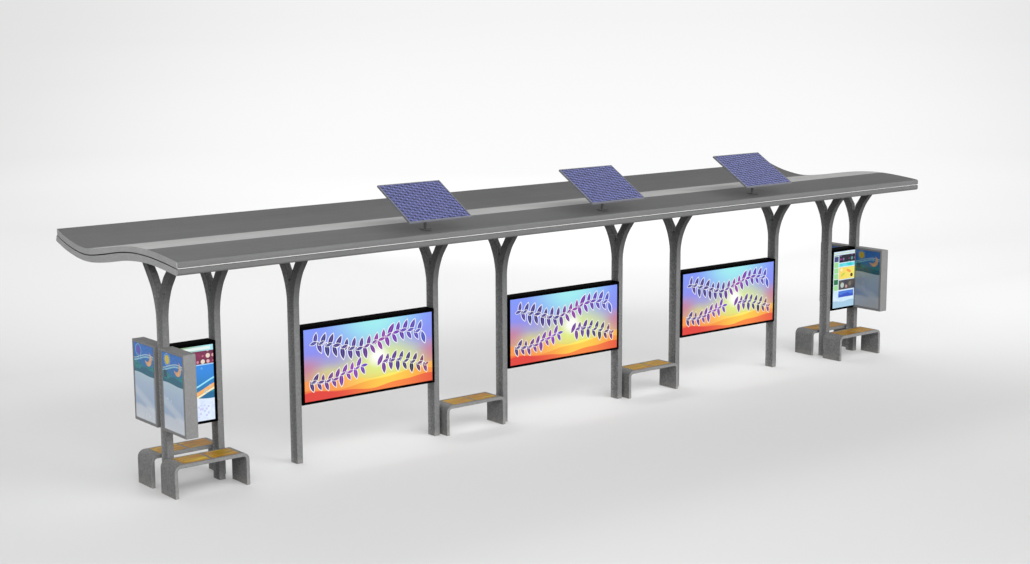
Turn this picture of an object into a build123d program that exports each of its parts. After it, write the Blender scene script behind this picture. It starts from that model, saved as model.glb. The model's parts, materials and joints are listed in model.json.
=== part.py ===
from build123d import *
import math
import os

os.makedirs("parts", exist_ok=True)

# ---------------------------------------------------------------------------
# Bus shelter.  Millimetres, +X along the row of posts, -Y the front side,
# +Z up, ground at Z = 0.  Y positions are first written from the middle of
# the row of posts and then moved by Y_ROW, so that the origin lies under the
# middle of the roof.
# ---------------------------------------------------------------------------
Y_ROW = -655.0

# posts
POST_X = [-6977, -6215, -4983, -2596, -1295, 1092, 2393, 4780, 6195, 6957]
POST_W = 96.0            # along X
POST_D = 174.0           # along Y
POST_R = 8.0             # rounded long edges
FORK_Z = 2258.0          # where the outer edges begin to bend out
FORK_R = 915.0           # bend of the outer edges
FORK_ANGLE = 37.5        # degrees turned by the bend, straight beyond it
CROTCH_Z = 2600.0        # bottom of the V between the arms

# roof, upper surface from front to back, seen from the end
ROOF_HALF = 7310.0
ROOF_TOP = [(-1115, 3226), (-900, 3250), (-680, 3271), (-460, 3287), (-250, 3295),
            (-40, 3293), (200, 3277), (450, 3249), (690, 3214), (920, 3177),
            (1160, 3142), (1380, 3115), (1580, 3104), (1770, 3117), (1970, 3147),
            (2170, 3190), (2340, 3240), (2445, 3275)]
# thickness of the two slabs at the same places
UPPER_T = [82, 82, 82, 82, 81, 78, 73, 71, 72, 76, 80, 82, 82, 82, 82, 82, 82, 82]
LOWER_T = [84, 83, 83, 84, 88, 95, 101, 106, 110, 106, 99, 90, 82, 80, 80, 80, 80, 80]
GAP_T = 15.0             # open gap between the slabs
NOSE_R = 34.0            # big rounding of the front edges
EDGE_R = 10.0            # small rounding of the front edges
LOWER_BACK = 2490.87      # rearmost point of the lower slab
BAND_FRONT = -305.0      # light middle band of the upper slab, front edge
BAND_BACK = 1440.0       # and back edge
RIB_W = 60.0             # ribs in the gap, along X
RIB_Y = (-950.0, 2250.0)
STRIP_T = 10.0           # light strip under the front edge of the upper slab
STRIP_Y = (-1103.0, -1078.0)

# boxes hung on the posts
BOX_Z0, BOX_Z1 = 830.0, 1942.0
SCREEN_D = 210.0         # depth of the displays, 20 mm proud of the posts
SCREEN_FRAME = 43.0      # black border round the picture
SCREEN_FOOT = 38.0       # and under it
CASE_R = 4.0             # rounded edges of the black cases
PANEL_RECESS = 10.0      # pocket for a picture panel
PANEL_T = 8.0            # thickness of a picture panel
LIGHT_W = 178.0          # light boxes, along X
LIGHT_L = {"left_front": 628.0, "left_back": 650.0,       # out from the post
           "right_front": 628.0, "right_back": 625.0}     # along Y
LIGHT_TOP, LIGHT_BOTTOM, LIGHT_SIDE = 32.0, 40.0, 36.0
LIGHT_R = 5.0            # rounded edges of the light boxes

# benches
BENCH_L = 1114.0
BENCH_D = 400.0
BENCH_H = 450.0
BENCH_T = 50.0
BENCH_RO = 100.0
BENCH_RI = 42.0
BENCH_R = 4.0            # rounded long edges
BENCH_GAP = 130.0        # from the middle of the row to an end bench
END_BENCH_X = [-6599.0, 6572.0]
MID_BENCH_X = [-1940.0, 1748.0]
SEAT_POCKET = 20.0
SEAT_T = 22.0
SEAT_L = 830.0           # both boards with the bridge between them
SEAT_D = 316.0
SEAT_DX = 15.0           # the boards lie this far right of the middle
SEAT_SPLIT = 38.0        # bridge between the two boards of a bench
SEAT_R = 2.5

# solar panels
SOLAR_X = [-3305.0, 20.0, 3335.0]
SOLAR_W = 1068.0
SOLAR_L = 889.0
SOLAR_T = 28.0
SOLAR_TILT = 30.1
SOLAR_Y = -826.0
SOLAR_Z = 3655.0         # middle of the panel's upper face
SOLAR_RIM = 18.0
SOLAR_R = 3.0
SOLAR_CELL_T = 6.0
SOLAR_CELL_IN = 2.0      # the cells lie this far under the rim
POLE_R = 21.0
FOOT_R = 85.0
FOOT_T = 12.0


def yrow(points):
    return [(y + Y_ROW, z) for y, z in points]


def offset_down(points, d):
    """Points moved square to the curve by d, downwards."""
    out = []
    n = len(points)
    for i in range(n):
        a = points[max(i - 1, 0)]
        b = points[min(i + 1, n - 1)]
        ty, tz = b[0] - a[0], b[1] - a[1]
        length = math.hypot(ty, tz)
        out.append((points[i][0] + tz / length * d[i], points[i][1] - ty / length * d[i]))
    return out


C0 = yrow(ROOF_TOP)                                   # top of the upper slab
C1 = offset_down(C0, [t for t in UPPER_T])                         # underside of the upper slab
C1S = offset_down(C0, [t + STRIP_T for t in UPPER_T])              # underside of the light strip
C2 = offset_down(C0, [t + GAP_T for t in UPPER_T])                 # top of the lower slab
C3 = offset_down(C0, [t + GAP_T + u for t, u in zip(UPPER_T, LOWER_T)])       # underside of the lower slab

# the curves run a little past both ends and are cut to length by a box
def extend(points, front, back):
    (y0, z0), (y1, z1) = points[0], points[1]
    (ya, za), (yb, zb) = points[-1], points[-2]
    f = (y0 - front, z0 - (z1 - z0) / (y1 - y0) * front)
    b = (ya + back, za + (za - zb) / (ya - yb) * back)
    return [f] + list(points) + [b]


E0, E1, E1S, E2, E3 = [extend(c, 120.0, 120.0) for c in (C0, C1, C1S, C2, C3)]
FRONT_Y = ROOF_TOP[0][0] + Y_ROW
BACK_Y = ROOF_TOP[-1][0] + Y_ROW
ROOF_PLANE = Plane.YZ.offset(-ROOF_HALF)
Z_LOW, Z_HIGH = 2500.0, 3900.0


def box_between(x0, x1, y0, y1, z0, z1, mode=Mode.ADD):
    with Locations((x0, y0, z0)):
        Box(x1 - x0, y1 - y0, z1 - z0, align=(Align.MIN, Align.MIN, Align.MIN), mode=mode)


# ---------------------------------------------------------------------------
# roof, upper slab: full length block, then cut into three bands
# ---------------------------------------------------------------------------
UPPER = {}
for name, y0, y1 in (("upper_block", FRONT_Y, BACK_Y),
                     ("roof_upper_front", FRONT_Y, BAND_FRONT + Y_ROW),
                     ("roof_upper_middle", BAND_FRONT + Y_ROW, BAND_BACK + Y_ROW),
                     ("roof_upper_back", BAND_BACK + Y_ROW, BACK_Y)):
    with BuildPart() as upper:
        with BuildSketch(ROOF_PLANE) as outline:
            with BuildLine():
                Spline(*E0)
                Line(E0[-1], E1[-1])
                Spline(*E1)
                Line(E1[0], E0[0])
            make_face()
            with Locations(((y0 + y1) / 2, (Z_LOW + Z_HIGH) / 2)):
                Rectangle(y1 - y0, Z_HIGH - Z_LOW, mode=Mode.INTERSECT)
            if y0 == FRONT_Y:
                front = outline.vertices().group_by(Axis.X)[0].sort_by(Axis.Y)
                fillet(front[-1], NOSE_R)
                front = outline.vertices().group_by(Axis.X)[0].sort_by(Axis.Y)
                fillet(front[0], EDGE_R)
        extrude(amount=2 * ROOF_HALF)
    UPPER[name] = upper.part
    if name != "upper_block":
        upper.part.label = name
        export_step(upper.part, "parts/%s.step" % name)

# ---------------------------------------------------------------------------
# roof, lower slab: its back end is cut square to the surface
# ---------------------------------------------------------------------------
slope = math.atan2(ROOF_TOP[-1][1] - ROOF_TOP[-2][1], ROOF_TOP[-1][0] - ROOF_TOP[-2][0])
back_low = LOWER_BACK + Y_ROW
k = (E3[-1][1] - C3[-1][1]) / (E3[-1][0] - C3[-1][0])
z_low = C3[-1][1] + k * (back_low - C3[-1][0])
with BuildPart() as roof_lower:
    with BuildSketch(ROOF_PLANE) as lower_outline:
        with BuildLine():
            Spline(*E2)
            Line(E2[-1], E3[-1])
            Spline(*E3)
            Line(E3[0], E2[0])
        make_face()
        with BuildLine():
            Polyline((FRONT_Y, Z_LOW), (back_low + math.sin(slope) * 400, z_low - math.cos(slope) * 400),
                     (back_low - math.sin(slope) * 400, z_low + math.cos(slope) * 400),
                     (FRONT_Y, Z_HIGH), close=True)
        make_face(mode=Mode.INTERSECT)
        front = lower_outline.vertices().group_by(Axis.X)[0].sort_by(Axis.Y)
        fillet(front[0], NOSE_R)
        front = lower_outline.vertices().group_by(Axis.X)[0].sort_by(Axis.Y)
        fillet(front[-1], EDGE_R)
    extrude(amount=2 * ROOF_HALF)
roof_lower.part.label = "roof_lower"
export_step(roof_lower.part, "parts/roof_lower.step")

# ribs that keep the slabs apart, one over each post
with BuildPart() as roof_ribs:
    for x in POST_X:
        with BuildSketch(Plane.YZ.offset(x - RIB_W / 2)):
            with BuildLine():
                Spline(*E1)
                Line(E1[-1], E2[-1])
                Spline(*E2)
                Line(E2[0], E1[0])
            make_face()
            with Locations(((RIB_Y[0] + RIB_Y[1]) / 2 + Y_ROW, (Z_LOW + Z_HIGH) / 2)):
                Rectangle(RIB_Y[1] - RIB_Y[0], Z_HIGH - Z_LOW, mode=Mode.INTERSECT)
        extrude(amount=RIB_W)
roof_ribs.part.label = "roof_ribs"
export_step(roof_ribs.part, "parts/roof_ribs.step")

# light strip in the front mouth of the gap, under the upper slab
with BuildPart() as front_light_strip:
    with BuildSketch(Plane.YZ.offset(-ROOF_HALF + 12)):
        with BuildLine():
            Spline(*E1)
            Line(E1[-1], E1S[-1])
            Spline(*E1S)
            Line(E1S[0], E1[0])
        make_face()
        with Locations(((STRIP_Y[0] + STRIP_Y[1]) / 2 + Y_ROW, (Z_LOW + Z_HIGH) / 2)):
            Rectangle(STRIP_Y[1] - STRIP_Y[0], Z_HIGH - Z_LOW, mode=Mode.INTERSECT)
    extrude(amount=2 * ROOF_HALF - 24)
front_light_strip.part.label = "front_light_strip"
export_step(front_light_strip.part, "parts/front_light_strip.step")

# ---------------------------------------------------------------------------
# posts: one closed outline, extruded along X, cut off by the lower slab
# ---------------------------------------------------------------------------
a = math.radians(FORK_ANGLE)
arc_end = (POST_D / 2 + FORK_R * (1 - math.cos(a)), FORK_Z + FORK_R * math.sin(a))
mid = math.radians(FORK_ANGLE / 2)
arc_mid = (POST_D / 2 + FORK_R * (1 - math.cos(mid)), FORK_Z + FORK_R * math.sin(mid))
run = 400.0
tip = (arc_end[0] + math.sin(a) * run, arc_end[1] + math.cos(a) * run)
# inner edges: straight at V_ANGLE above V_END, curved down to the bottom of the V
V_ANGLE = 44.0
V_END = (187.0, 2914.0)
v = math.radians(V_ANGLE)
inner_tip = (V_END[0] + math.sin(v) * 300, V_END[1] + math.cos(v) * 300)
TIP_L = math.dist(tip, inner_tip)

for number, x in enumerate(POST_X, start=1):
    with BuildPart() as post:
        with BuildSketch(Plane.YZ.offset(x - POST_W / 2)):
            with BuildLine():
                right = lambda p: (p[0] + Y_ROW, p[1])
                left = lambda p: (-p[0] + Y_ROW, p[1])
                Line(left((POST_D / 2, 0)), right((POST_D / 2, 0)))
                Line(right((POST_D / 2, 0)), right((POST_D / 2, FORK_Z)))
                ThreePointArc(right((POST_D / 2, FORK_Z)), right(arc_mid), right(arc_end))
                Line(right(arc_end), right(tip))
                Line(right(tip), right(inner_tip))
                Line(right(inner_tip), right(V_END))
                Spline(right(V_END), right((84, 2765)), right((38, 2680)), right((0, CROTCH_Z)),
                       tangents=[(-math.sin(v), -math.cos(v)), (-1, 0)])
                Spline(left((0, CROTCH_Z)), left((38, 2680)), left((84, 2765)), left(V_END),
                       tangents=[(-1, 0), (-math.sin(v), math.cos(v))])
                Line(left(V_END), left(inner_tip))
                Line(left(inner_tip), left(tip))
                Line(left(tip), left(arc_end))
                ThreePointArc(left(arc_end), left(arc_mid), left((POST_D / 2, FORK_Z)))
                Line(left((POST_D / 2, FORK_Z)), left((POST_D / 2, 0)))
            make_face()
        extrude(amount=POST_W)
        # the edges of both flanks are rounded, except at the foot and at the tips
        flank_edges = [e for face in post.part.faces().filter_by(Axis.X) for e in face.edges()
                       if e.center().Z > 10 and abs(e.length - TIP_L) > 1]
        fillet(flank_edges, POST_R)
        add(roof_lower.part, mode=Mode.SUBTRACT)
        # what would stand above the slab is cut away too
        solids = post.part.solids().sort_by(Axis.Z)
    with BuildPart() as post_clean:
        add(solids[0])
    post_clean.part.label = "post_%d" % number
    export_step(post_clean.part, "parts/post_%d.step" % number)

# ---------------------------------------------------------------------------
# wide screens between posts 3-4, 5-6 and 7-8
# ---------------------------------------------------------------------------
for number, (i, j) in enumerate(((2, 3), (4, 5), (6, 7)), start=1):
    x0 = POST_X[i] + POST_W / 2
    x1 = POST_X[j] - POST_W / 2
    y0, y1 = -SCREEN_D / 2 + Y_ROW, SCREEN_D / 2 + Y_ROW
    with BuildPart() as screen_case:
        box_between(x0, x1, y0, y1, BOX_Z0, BOX_Z1)
        fillet(screen_case.part.edges(), CASE_R)
        for ya, yb in ((y0 - 5, y0 + PANEL_RECESS), (y1 - PANEL_RECESS, y1 + 5)):
            box_between(x0 + SCREEN_FRAME, x1 - SCREEN_FRAME, ya, yb,
                        BOX_Z0 + SCREEN_FOOT, BOX_Z1 - SCREEN_FRAME, Mode.SUBTRACT)
    screen_case.part.label = "screen_case_%d" % number
    export_step(screen_case.part, "parts/screen_case_%d.step" % number)
    with BuildPart() as screen_panel:
        for ya in (y0 + PANEL_RECESS - PANEL_T, y1 - PANEL_RECESS):
            box_between(x0 + SCREEN_FRAME, x1 - SCREEN_FRAME, ya, ya + PANEL_T,
                        BOX_Z0 + SCREEN_FOOT, BOX_Z1 - SCREEN_FRAME)
    screen_panel.part.label = "screen_panel_%d" % number
    export_step(screen_panel.part, "parts/screen_panel_%d.step" % number)

# narrow displays between posts 1-2 and 9-10
# (both faces stand proud of the posts and stop at the sides of the light boxes)
for name, (i, j) in (("left", (0, 1)), ("right", (8, 9))):
    x0 = POST_X[i] + POST_W / 2
    x1 = POST_X[j] - POST_W / 2
    notch = (LIGHT_W - POST_W) / 2
    nx = (x0 - 5, x0 + notch) if name == "left" else (x1 - notch, x1 + 5)
    y0, y1 = -SCREEN_D / 2 + Y_ROW, SCREEN_D / 2 + Y_ROW
    with BuildPart() as end_case:
        box_between(x0, x1, y0, y1, BOX_Z0, BOX_Z1)
        fillet(end_case.part.edges(), CASE_R)
        for ya, yb in ((y0 - 5, -POST_D / 2 + Y_ROW), (POST_D / 2 + Y_ROW, y1 + 5)):
            box_between(nx[0], nx[1], ya, yb, BOX_Z0 - 5, BOX_Z1 + 5, Mode.SUBTRACT)
        for ya, yb in ((y0 - 5, y0 + PANEL_RECESS), (y1 - PANEL_RECESS, y1 + 5)):
            box_between(x0 + SCREEN_FRAME, x1 - SCREEN_FRAME, ya, yb,
                        BOX_Z0 + SCREEN_FOOT, BOX_Z1 - SCREEN_FRAME, Mode.SUBTRACT)
    end_case.part.label = "end_case_%s" % name
    export_step(end_case.part, "parts/end_case_%s.step" % name)

with BuildPart() as end_panels:
    for i, j in ((0, 1), (8, 9)):
        x0 = POST_X[i] + POST_W / 2
        x1 = POST_X[j] - POST_W / 2
        y0, y1 = -SCREEN_D / 2 + Y_ROW, SCREEN_D / 2 + Y_ROW
        for ya in (y0 + PANEL_RECESS - PANEL_T, y1 - PANEL_RECESS):
            box_between(x0 + SCREEN_FRAME, x1 - SCREEN_FRAME, ya, ya + PANEL_T,
                        BOX_Z0 + SCREEN_FOOT, BOX_Z1 - SCREEN_FRAME)
end_panels.part.label = "end_panels"
export_step(end_panels.part, "parts/end_panels.step")

# ---------------------------------------------------------------------------
# light boxes on the front and back faces of posts 1 and 10, a poster on each
# broad side
# ---------------------------------------------------------------------------
for name, x in (("left", POST_X[0]), ("right", POST_X[9])):
    for side, s in (("front", -1), ("back", 1)):
        ya = s * POST_D / 2 + Y_ROW
        yb = s * (POST_D / 2 + LIGHT_L["%s_%s" % (name, side)]) + Y_ROW
        y0, y1 = min(ya, yb), max(ya, yb)
        with BuildPart() as light_box:
            box_between(x - LIGHT_W / 2, x + LIGHT_W / 2, y0, y1, BOX_Z0, BOX_Z1)
            # rounded all over, except at the face that sits on the post
            fillet([e for e in light_box.part.edges() if abs(e.center().Y - ya) > 1], LIGHT_R)
            for xa, xb in ((x - LIGHT_W / 2 - 5, x - LIGHT_W / 2 + PANEL_RECESS),
                           (x + LIGHT_W / 2 - PANEL_RECESS, x + LIGHT_W / 2 + 5)):
                box_between(xa, xb, y0 + LIGHT_SIDE, y1 - LIGHT_SIDE,
                            BOX_Z0 + LIGHT_BOTTOM, BOX_Z1 - LIGHT_TOP, Mode.SUBTRACT)
        light_box.part.label = "light_box_%s_%s" % (name, side)
        export_step(light_box.part, "parts/light_box_%s_%s.step" % (name, side))
    with BuildPart() as posters:
        for side, s in (("front", -1), ("back", 1)):
            ya = s * POST_D / 2 + Y_ROW
            yb = s * (POST_D / 2 + LIGHT_L["%s_%s" % (name, side)]) + Y_ROW
            y0, y1 = min(ya, yb), max(ya, yb)
            for xa in (x - LIGHT_W / 2 + PANEL_RECESS - PANEL_T, x + LIGHT_W / 2 - PANEL_RECESS):
                box_between(xa, xa + PANEL_T, y0 + LIGHT_SIDE, y1 - LIGHT_SIDE,
                            BOX_Z0 + LIGHT_BOTTOM, BOX_Z1 - LIGHT_TOP)
    posters.part.label = "posters_%s" % name
    export_step(posters.part, "parts/posters_%s.step" % name)


# ---------------------------------------------------------------------------
# benches: a bent frame with rounded outer corners and a pocket for the seat
# ---------------------------------------------------------------------------
def seat_boxes(cx):
    cx += SEAT_DX
    return [(cx - SEAT_L / 2, cx - SEAT_SPLIT / 2), (cx + SEAT_SPLIT / 2, cx + SEAT_L / 2)]


BENCHES = []
for name, cx in (("left", END_BENCH_X[0]), ("right", END_BENCH_X[1])):
    BENCHES.append(("bench_%s_front" % name, cx, -BENCH_GAP - BENCH_D / 2))
    BENCHES.append(("bench_%s_back" % name, cx, BENCH_GAP + BENCH_D / 2))
BENCHES.append(("bench_middle_1", MID_BENCH_X[0], 0.0))
BENCHES.append(("bench_middle_2", MID_BENCH_X[1], 0.0))

for name, cx, cy in BENCHES:
    with BuildPart() as bench:
        with BuildSketch(Plane.XZ.offset(-(cy + Y_ROW + BENCH_D / 2))) as outline:
            with Locations((cx, BENCH_H / 2)):
                Rectangle(BENCH_L, BENCH_H)
            fillet(outline.vertices().group_by(Axis.Y)[-1], BENCH_RO)
            with BuildSketch(Plane.XZ.offset(-(cy + Y_ROW + BENCH_D / 2)), mode=Mode.PRIVATE) as inner:
                with Locations((cx, (BENCH_H - BENCH_T) / 2)):
                    Rectangle(BENCH_L - 2 * BENCH_T, BENCH_H - BENCH_T)
                fillet(inner.vertices().group_by(Axis.Y)[-1], BENCH_RI)
            add(inner.sketch_local, mode=Mode.SUBTRACT)
        extrude(amount=BENCH_D)
        sides = bench.part.faces().filter_by(Axis.Y)
        fillet([e for face in sides for e in face.edges() if e.center().Z > 1], BENCH_R)
        for xa, xb in seat_boxes(cx):
            box_between(xa, xb, cy + Y_ROW - SEAT_D / 2, cy + Y_ROW + SEAT_D / 2,
                        BENCH_H - SEAT_POCKET, BENCH_H + 5, Mode.SUBTRACT)
    bench.part.label = name
    export_step(bench.part, "parts/%s.step" % name)

for name, group in (("left", BENCHES[0:2]), ("right", BENCHES[2:4]), ("middle", BENCHES[4:6])):
    with BuildPart() as seats:
        for _, cx, cy in group:
            for xa, xb in seat_boxes(cx):
                box_between(xa, xb, cy + Y_ROW - SEAT_D / 2, cy + Y_ROW + SEAT_D / 2,
                            BENCH_H - SEAT_POCKET, BENCH_H - SEAT_POCKET + SEAT_T)
        fillet([e for e in seats.part.edges() if e.center().Z > BENCH_H - SEAT_POCKET + SEAT_T - 1], SEAT_R)
    seats.part.label = "seats_%s" % name
    export_step(seats.part, "parts/seats_%s.step" % name)

# ---------------------------------------------------------------------------
# solar panels on short poles
# ---------------------------------------------------------------------------
with BuildPart() as solar_cells:
    for x in SOLAR_X:
        tilted = Plane(origin=(x, SOLAR_Y + Y_ROW, SOLAR_Z), x_dir=(1, 0, 0),
                       z_dir=(0, -math.sin(math.radians(SOLAR_TILT)), math.cos(math.radians(SOLAR_TILT))))
        with BuildSketch(tilted.offset(-SOLAR_CELL_IN - SOLAR_CELL_T)):
            Rectangle(SOLAR_W - 2 * SOLAR_RIM, SOLAR_L - 2 * SOLAR_RIM)
        extrude(amount=SOLAR_CELL_T)
solar_cells.part.label = "solar_cells"
export_step(solar_cells.part, "parts/solar_cells.step")

frames = []
for number, x in enumerate(SOLAR_X, start=1):
    tilted = Plane(origin=(x, SOLAR_Y + Y_ROW, SOLAR_Z), x_dir=(1, 0, 0),
                   z_dir=(0, -math.sin(math.radians(SOLAR_TILT)), math.cos(math.radians(SOLAR_TILT))))
    with BuildPart() as solar_frame:
        with BuildSketch(tilted.offset(-SOLAR_T)):
            Rectangle(SOLAR_W, SOLAR_L)
        extrude(amount=SOLAR_T)
        fillet(solar_frame.part.edges(), SOLAR_R)
        with BuildSketch(tilted.offset(-SOLAR_CELL_IN - SOLAR_CELL_T)):
            Rectangle(SOLAR_W - 2 * SOLAR_RIM, SOLAR_L - 2 * SOLAR_RIM)
        extrude(amount=SOLAR_CELL_IN + SOLAR_CELL_T + 5, mode=Mode.SUBTRACT)
    solar_frame.part.label = "solar_frame_%d" % number
    export_step(solar_frame.part, "parts/solar_frame_%d.step" % number)
    frames.append((tilted, solar_frame.part))

pole_parts = []
for x, (tilted, frame) in zip(SOLAR_X, frames):
    with BuildPart() as pole:
        with BuildSketch(Plane.XY.offset(3150)):
            with Locations((x, SOLAR_Y + Y_ROW)):
                Circle(POLE_R)
        extrude(amount=SOLAR_Z - 3150)
        with BuildSketch(Plane.XY.offset(3150)):
            with Locations((x, SOLAR_Y + Y_ROW)):
                Circle(FOOT_R)
        extrude(amount=3257 + FOOT_T - 3150)
        # saddle plate under the panel
        with BuildSketch(tilted.offset(-SOLAR_T - 8)):
            Rectangle(260, 200)
        extrude(amount=8)
        # keep only what lies under the panel
        with BuildSketch(tilted.offset(-SOLAR_T)):
            Rectangle(3000, 3000)
        extrude(amount=400, mode=Mode.SUBTRACT)
        add(UPPER["upper_block"], mode=Mode.SUBTRACT)
        solids = pole.part.solids().sort_by(Axis.Z)
    pole_parts.append(solids[-1])
with BuildPart() as solar_poles:
    for solid in pole_parts:
        add(solid)
solar_poles.part.label = "solar_poles"
export_step(solar_poles.part, "parts/solar_poles.step")
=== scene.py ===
import json
import math

import bmesh
import bpy
from mathutils import Matrix, Vector

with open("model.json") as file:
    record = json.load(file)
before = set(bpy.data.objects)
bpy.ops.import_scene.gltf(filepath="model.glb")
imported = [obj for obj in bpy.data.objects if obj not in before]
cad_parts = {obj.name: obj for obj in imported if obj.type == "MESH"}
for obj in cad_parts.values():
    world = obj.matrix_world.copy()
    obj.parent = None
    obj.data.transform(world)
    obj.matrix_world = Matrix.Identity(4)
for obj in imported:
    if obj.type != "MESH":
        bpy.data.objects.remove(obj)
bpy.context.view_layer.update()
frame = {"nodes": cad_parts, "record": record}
nodes = frame["nodes"]
scene = bpy.context.scene
coll = scene.collection

Y_ROW = -0.655                      # middle of the row of posts
POST_X = [-6.977, -6.215, -4.983, -2.596, -1.295, 1.092, 2.393, 4.780, 6.195, 6.957]

# ---------------------------------------------------------------------------
# camera, at the viewing angle of the reference
# ---------------------------------------------------------------------------
cam_data = bpy.data.cameras.new("camera")
cam_data.sensor_fit = "HORIZONTAL"
cam_data.sensor_width = 36.0
cam_data.lens = 58.49
cam_data.clip_start, cam_data.clip_end = 0.5, 20000.0
cam = bpy.data.objects.new("camera", cam_data)
coll.objects.link(cam)
cam.matrix_world = (Matrix.Translation((-16.924, -20.371, 6.4345))
                    @ Matrix.Rotation(math.radians(-38.883), 4, "Z")
                    @ Matrix.Rotation(math.radians(90 - 9.61), 4, "X")
                    @ Matrix.Rotation(math.radians(-0.228), 4, "Z"))
scene.camera = cam
scene.view_settings.view_transform = "Standard"
scene.view_settings.look = "None"


# ---------------------------------------------------------------------------
# a small helper for materials
# ---------------------------------------------------------------------------
def srgb(r, g, b):
    """Display colour 0..255 to linear."""
    out = []
    for c in (r, g, b):
        c /= 255.0
        out.append(c / 12.92 if c <= 0.04045 else ((c + 0.055) / 1.055) ** 2.4)
    return (out[0], out[1], out[2], 1.0)


class Mat:
    def __init__(self, name):
        self.mat = bpy.data.materials.new(name)
        self.mat.use_nodes = True
        self.nt = self.mat.node_tree
        self.nt.nodes.clear()
        self.out = self.nt.nodes.new("ShaderNodeOutputMaterial")
        self.bsdf = self.nt.nodes.new("ShaderNodeBsdfPrincipled")
        self.nt.links.new(self.bsdf.outputs[0], self.out.inputs[0])
        self._coord = None

    def set(self, **kw):
        """Principled sockets: plain values are set, sockets are linked."""
        for k, v in kw.items():
            sock = self.bsdf.inputs[k.replace("_", " ")]
            if isinstance(v, bpy.types.NodeSocket):
                self.nt.links.new(v, sock)
            else:
                sock.default_value = v
        return self

    def node(self, kind, **props):
        n = self.nt.nodes.new(kind)
        for k, v in props.items():
            setattr(n, k, v)
        return n

    def put(self, sock, v):
        if isinstance(v, bpy.types.NodeSocket):
            self.nt.links.new(v, sock)
        else:
            sock.default_value = v

    @property
    def coord(self):
        if self._coord is None:
            self._coord = self.node("ShaderNodeTexCoord").outputs["Object"]
        return self._coord

    def xyz(self, vec=None):
        n = self.node("ShaderNodeSeparateXYZ")
        self.put(n.inputs[0], vec or self.coord)
        return n.outputs[0], n.outputs[1], n.outputs[2]

    def vec(self, x, y, z=0.0):
        n = self.node("ShaderNodeCombineXYZ")
        for i, v in enumerate((x, y, z)):
            self.put(n.inputs[i], v)
        return n.outputs[0]

    def m(self, op, a, b=0.0, c=0.0, clamp=False):
        n = self.node("ShaderNodeMath", operation=op, use_clamp=clamp)
        self.put(n.inputs[0], a)
        self.put(n.inputs[1], b)
        self.put(n.inputs[2], c)
        return n.outputs[0]

    def mapr(self, v, a, b, c=0.0, d=1.0, smooth=False):
        n = self.node("ShaderNodeMapRange", interpolation_type="SMOOTHSTEP" if smooth else "LINEAR")
        n.clamp = True
        self.put(n.inputs["Value"], v)
        for k, x in (("From Min", a), ("From Max", b), ("To Min", c), ("To Max", d)):
            self.put(n.inputs[k], x)
        return n.outputs["Result"]

    def mix(self, fac, a, b, mode="MIX"):
        n = self.node("ShaderNodeMix", data_type="RGBA", blend_type=mode)
        self.put(n.inputs[0], fac)
        self.put(n.inputs[6], a)
        self.put(n.inputs[7], b)
        return n.outputs[2]

    def ramp(self, fac, stops, interp="LINEAR"):
        n = self.node("ShaderNodeValToRGB")
        cr = n.color_ramp
        cr.interpolation = interp
        while len(cr.elements) < len(stops):
            cr.elements.new(0.5)
        for e, (p, c) in zip(cr.elements, stops):
            e.position = p
            e.color = c if len(c) == 4 else (*c, 1.0)
        self.put(n.inputs[0], fac)
        return n.outputs[0]

    def scaled(self, sx, sy, sz, vec=None, rot=(0, 0, 0)):
        n = self.node("ShaderNodeMapping")
        n.inputs["Scale"].default_value = (sx, sy, sz)
        n.inputs["Rotation"].default_value = rot
        self.put(n.inputs[0], vec or self.coord)
        return n.outputs[0]

    def noise(self, scale, detail=2.0, rough=0.5, vec=None, distort=0.0):
        n = self.node("ShaderNodeTexNoise")
        n.inputs["Scale"].default_value = scale
        n.inputs["Detail"].default_value = detail
        n.inputs["Roughness"].default_value = rough
        n.inputs["Distortion"].default_value = distort
        self.put(n.inputs["Vector"], vec or self.coord)
        return n.outputs[0]

    def white(self, vec):
        n = self.node("ShaderNodeTexWhiteNoise", noise_dimensions="3D")
        self.put(n.inputs["Vector"], vec)
        return n.outputs["Value"]

    def bump(self, height, strength=0.3, distance=0.001, normal=None):
        n = self.node("ShaderNodeBump")
        n.inputs["Strength"].default_value = strength
        n.inputs["Distance"].default_value = distance
        self.put(n.inputs["Height"], height)
        if normal is not None:
            self.put(n.inputs["Normal"], normal)
        self.nt.links.new(n.outputs[0], self.bsdf.inputs["Normal"])
        return n.outputs[0]

    # flat shapes on a plane with coordinates p = (s, t, 0) in metres
    def local(self, p, cx, cy, angle, a, b):
        n = self.node("ShaderNodeMapping", vector_type="TEXTURE")
        n.inputs["Location"].default_value = (cx, cy, 0.0)
        n.inputs["Rotation"].default_value = (0.0, 0.0, angle)
        n.inputs["Scale"].default_value = (a, b, 1.0)
        self.put(n.inputs[0], p)
        return self.xyz(n.outputs[0])

    def disc(self, p, cx, cy, a, b=None, angle=0.0, soft=0.05):
        x, y, _ = self.local(p, cx, cy, angle, a, b or a)
        q = self.m("SQRT", self.m("MULTIPLY_ADD", x, x, self.m("MULTIPLY", y, y)))
        return self.mapr(q, 1.0 + soft, 1.0 - soft), q

    def ring(self, q, r0, r1, soft=0.04):
        return self.m("MULTIPLY", self.mapr(q, r0 - soft, r0 + soft), self.mapr(q, r1 + soft, r1 - soft))

    def rect(self, s, t, s0, s1, t0, t1, soft=0.0015):
        a = self.m("MULTIPLY", self.mapr(s, s0 - soft, s0 + soft), self.mapr(s, s1 + soft, s1 - soft))
        b = self.m("MULTIPLY", self.mapr(t, t0 - soft, t0 + soft), self.mapr(t, t1 + soft, t1 - soft))
        return self.m("MULTIPLY", a, b)

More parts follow.
